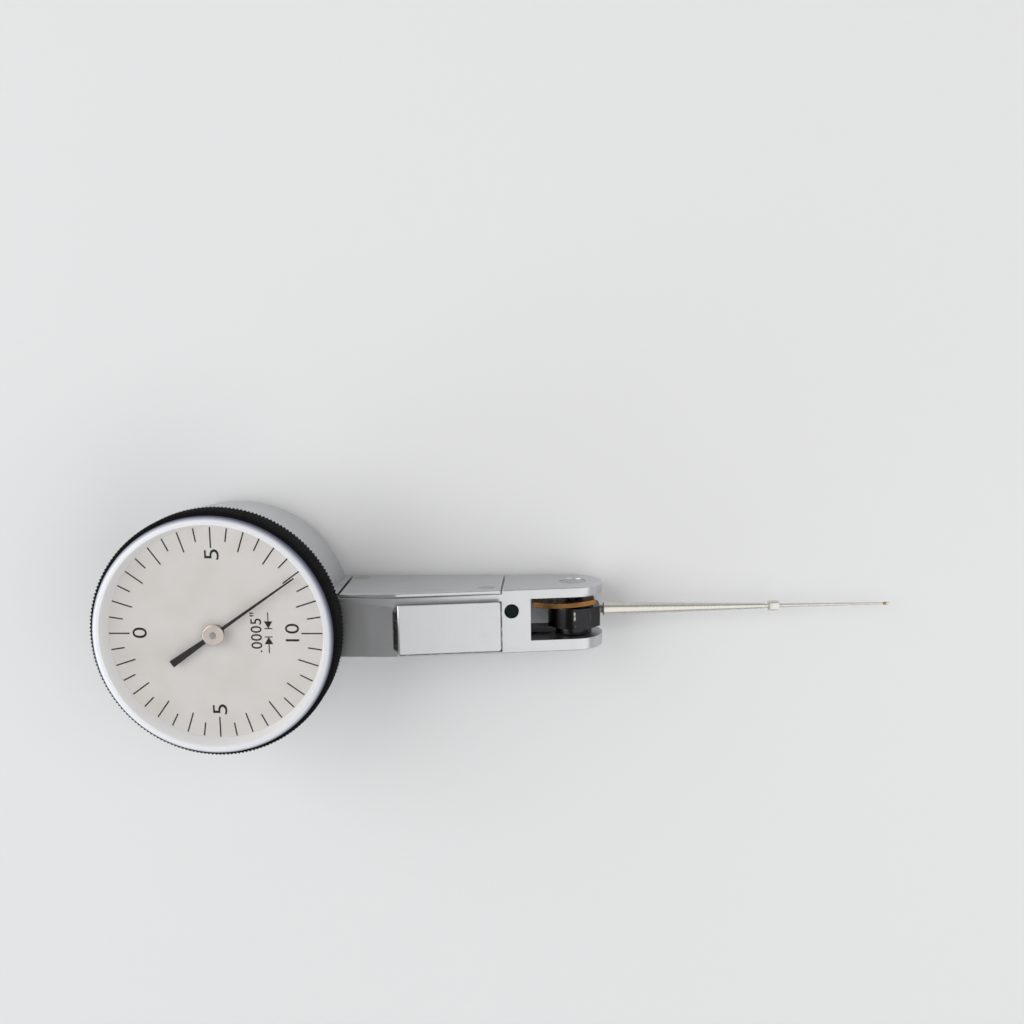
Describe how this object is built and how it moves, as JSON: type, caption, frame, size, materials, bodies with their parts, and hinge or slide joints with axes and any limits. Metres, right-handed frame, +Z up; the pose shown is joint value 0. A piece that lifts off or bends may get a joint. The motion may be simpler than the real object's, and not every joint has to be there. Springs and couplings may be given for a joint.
{
  "type": "dial test indicator",
  "caption": "Lever-type dial test indicator: round case with turning bezel and balanced dial, bar with dovetail rails, fork and long swivelling contact point that drives the pointer by gears.",
  "frame": {"origin": "centre of the case back's flat face, on the dial's axis", "axes": "+Z up through the dial, +X along the bar to the contact point, +Y to the side cover"},
  "size_m": [0.0901, 0.0276, 0.0155],
  "materials": {
    "satin_chrome": "satin",
    "steel": "satin",
    "dark_steel": "polished",
    "ball_steel": "polished",
    "black_bezel": "satin black",
    "crystal": "clear acrylic",
    "dial_ring": "matt",
    "dial_face": "matt",
    "pointer_black": "matt",
    "pointer_hub": "satin",
    "brass": "satin",
    "bronze": "satin",
    "jewel": "polished",
    "seal_green": "matt"
  },
  "bodies": {
    "case": {"body": "satin_chrome", "side_cover": "satin_chrome", "cover_screws": "steel", "bezel_spring": "steel", "movement_plate": "brass", "plate_screws": "steel", "movement_bridge": "brass", "bridge_screws": "steel", "jewels": "jewel", "hairspring": "bronze", "hairspring_stud": "brass", "sector_cock": "brass", "cock_screws": "steel", "pivot_bearings": "bronze", "bearing_screws": "steel", "adjusting_screw": "steel", "screw_seal": "seal_green"},
    "bezel_ring": {"bezel": "black_bezel", "crystal": "crystal", "dial_ring": "dial_ring", "dial_face": "dial_face"},
    "pointer_arbor": {"pointer": "pointer_black", "pointer_hub": "pointer_hub", "centre_pinion": "steel", "hairspring_collet": "brass"},
    "crown": {"crown_wheel": "brass", "crown_pinion": "steel"},
    "sector_body": {"sector": "brass", "sector_arbor": "steel", "reversing_pins": "steel"},
    "lever": {"pivot_shaft": "steel", "lever_arm": "steel", "friction_spring": "bronze", "spring_nut": "steel"},
    "stylus": {"stylus_hub": "dark_steel", "stylus_shank": "steel", "stylus_collar": "steel", "stylus_point": "steel", "contact_ball": "ball_steel"}
  },
  "joints": [
    {"name": "bezel_turn", "type": "hinge", "parent": "case", "child": "bezel_ring", "pos_m": [0, 0, 0.012], "axis": [0, 0, 1], "continuous": true},
    {"name": "pointer_turn", "type": "hinge", "parent": "case", "child": "pointer_arbor", "pos_m": [0, 0, 0.012], "axis": [0, 0, -1], "range_deg": [0, 400], "stiffness_Nm_per_rad": 0.00000077},
    {"name": "crown_turn", "type": "hinge", "parent": "case", "child": "crown", "pos_m": [0, 0, 0.00592], "axis": [0, 1, 0], "range_deg": [0, 133.83]},
    {"name": "sector_swing", "type": "hinge", "parent": "case", "child": "sector_body", "pos_m": [0.01716, 0, 0.00592], "axis": [0, -1, 0], "range_deg": [0, 11.16]},
    {"name": "lever_swing", "type": "hinge", "parent": "case", "child": "lever", "pos_m": [0.0394, 0, 0.00435], "axis": [0, -1, 0], "range_deg": [0, 0.8838]},
    {"name": "stylus_swivel", "type": "hinge", "parent": "lever", "child": "stylus", "pos_m": [0.0394, 0, 0.00435], "axis": [0, -1, 0], "range_deg": [-105, 105]}
  ],
  "couplings": [
    {"joint": "crown_turn", "follows": "pointer_turn", "ratio": 0.33333},
    {"joint": "sector_swing", "follows": "pointer_turn", "ratio": 0.027778},
    {"joint": "lever_swing", "follows": "pointer_turn", "ratio": 0.002197}
  ]
}
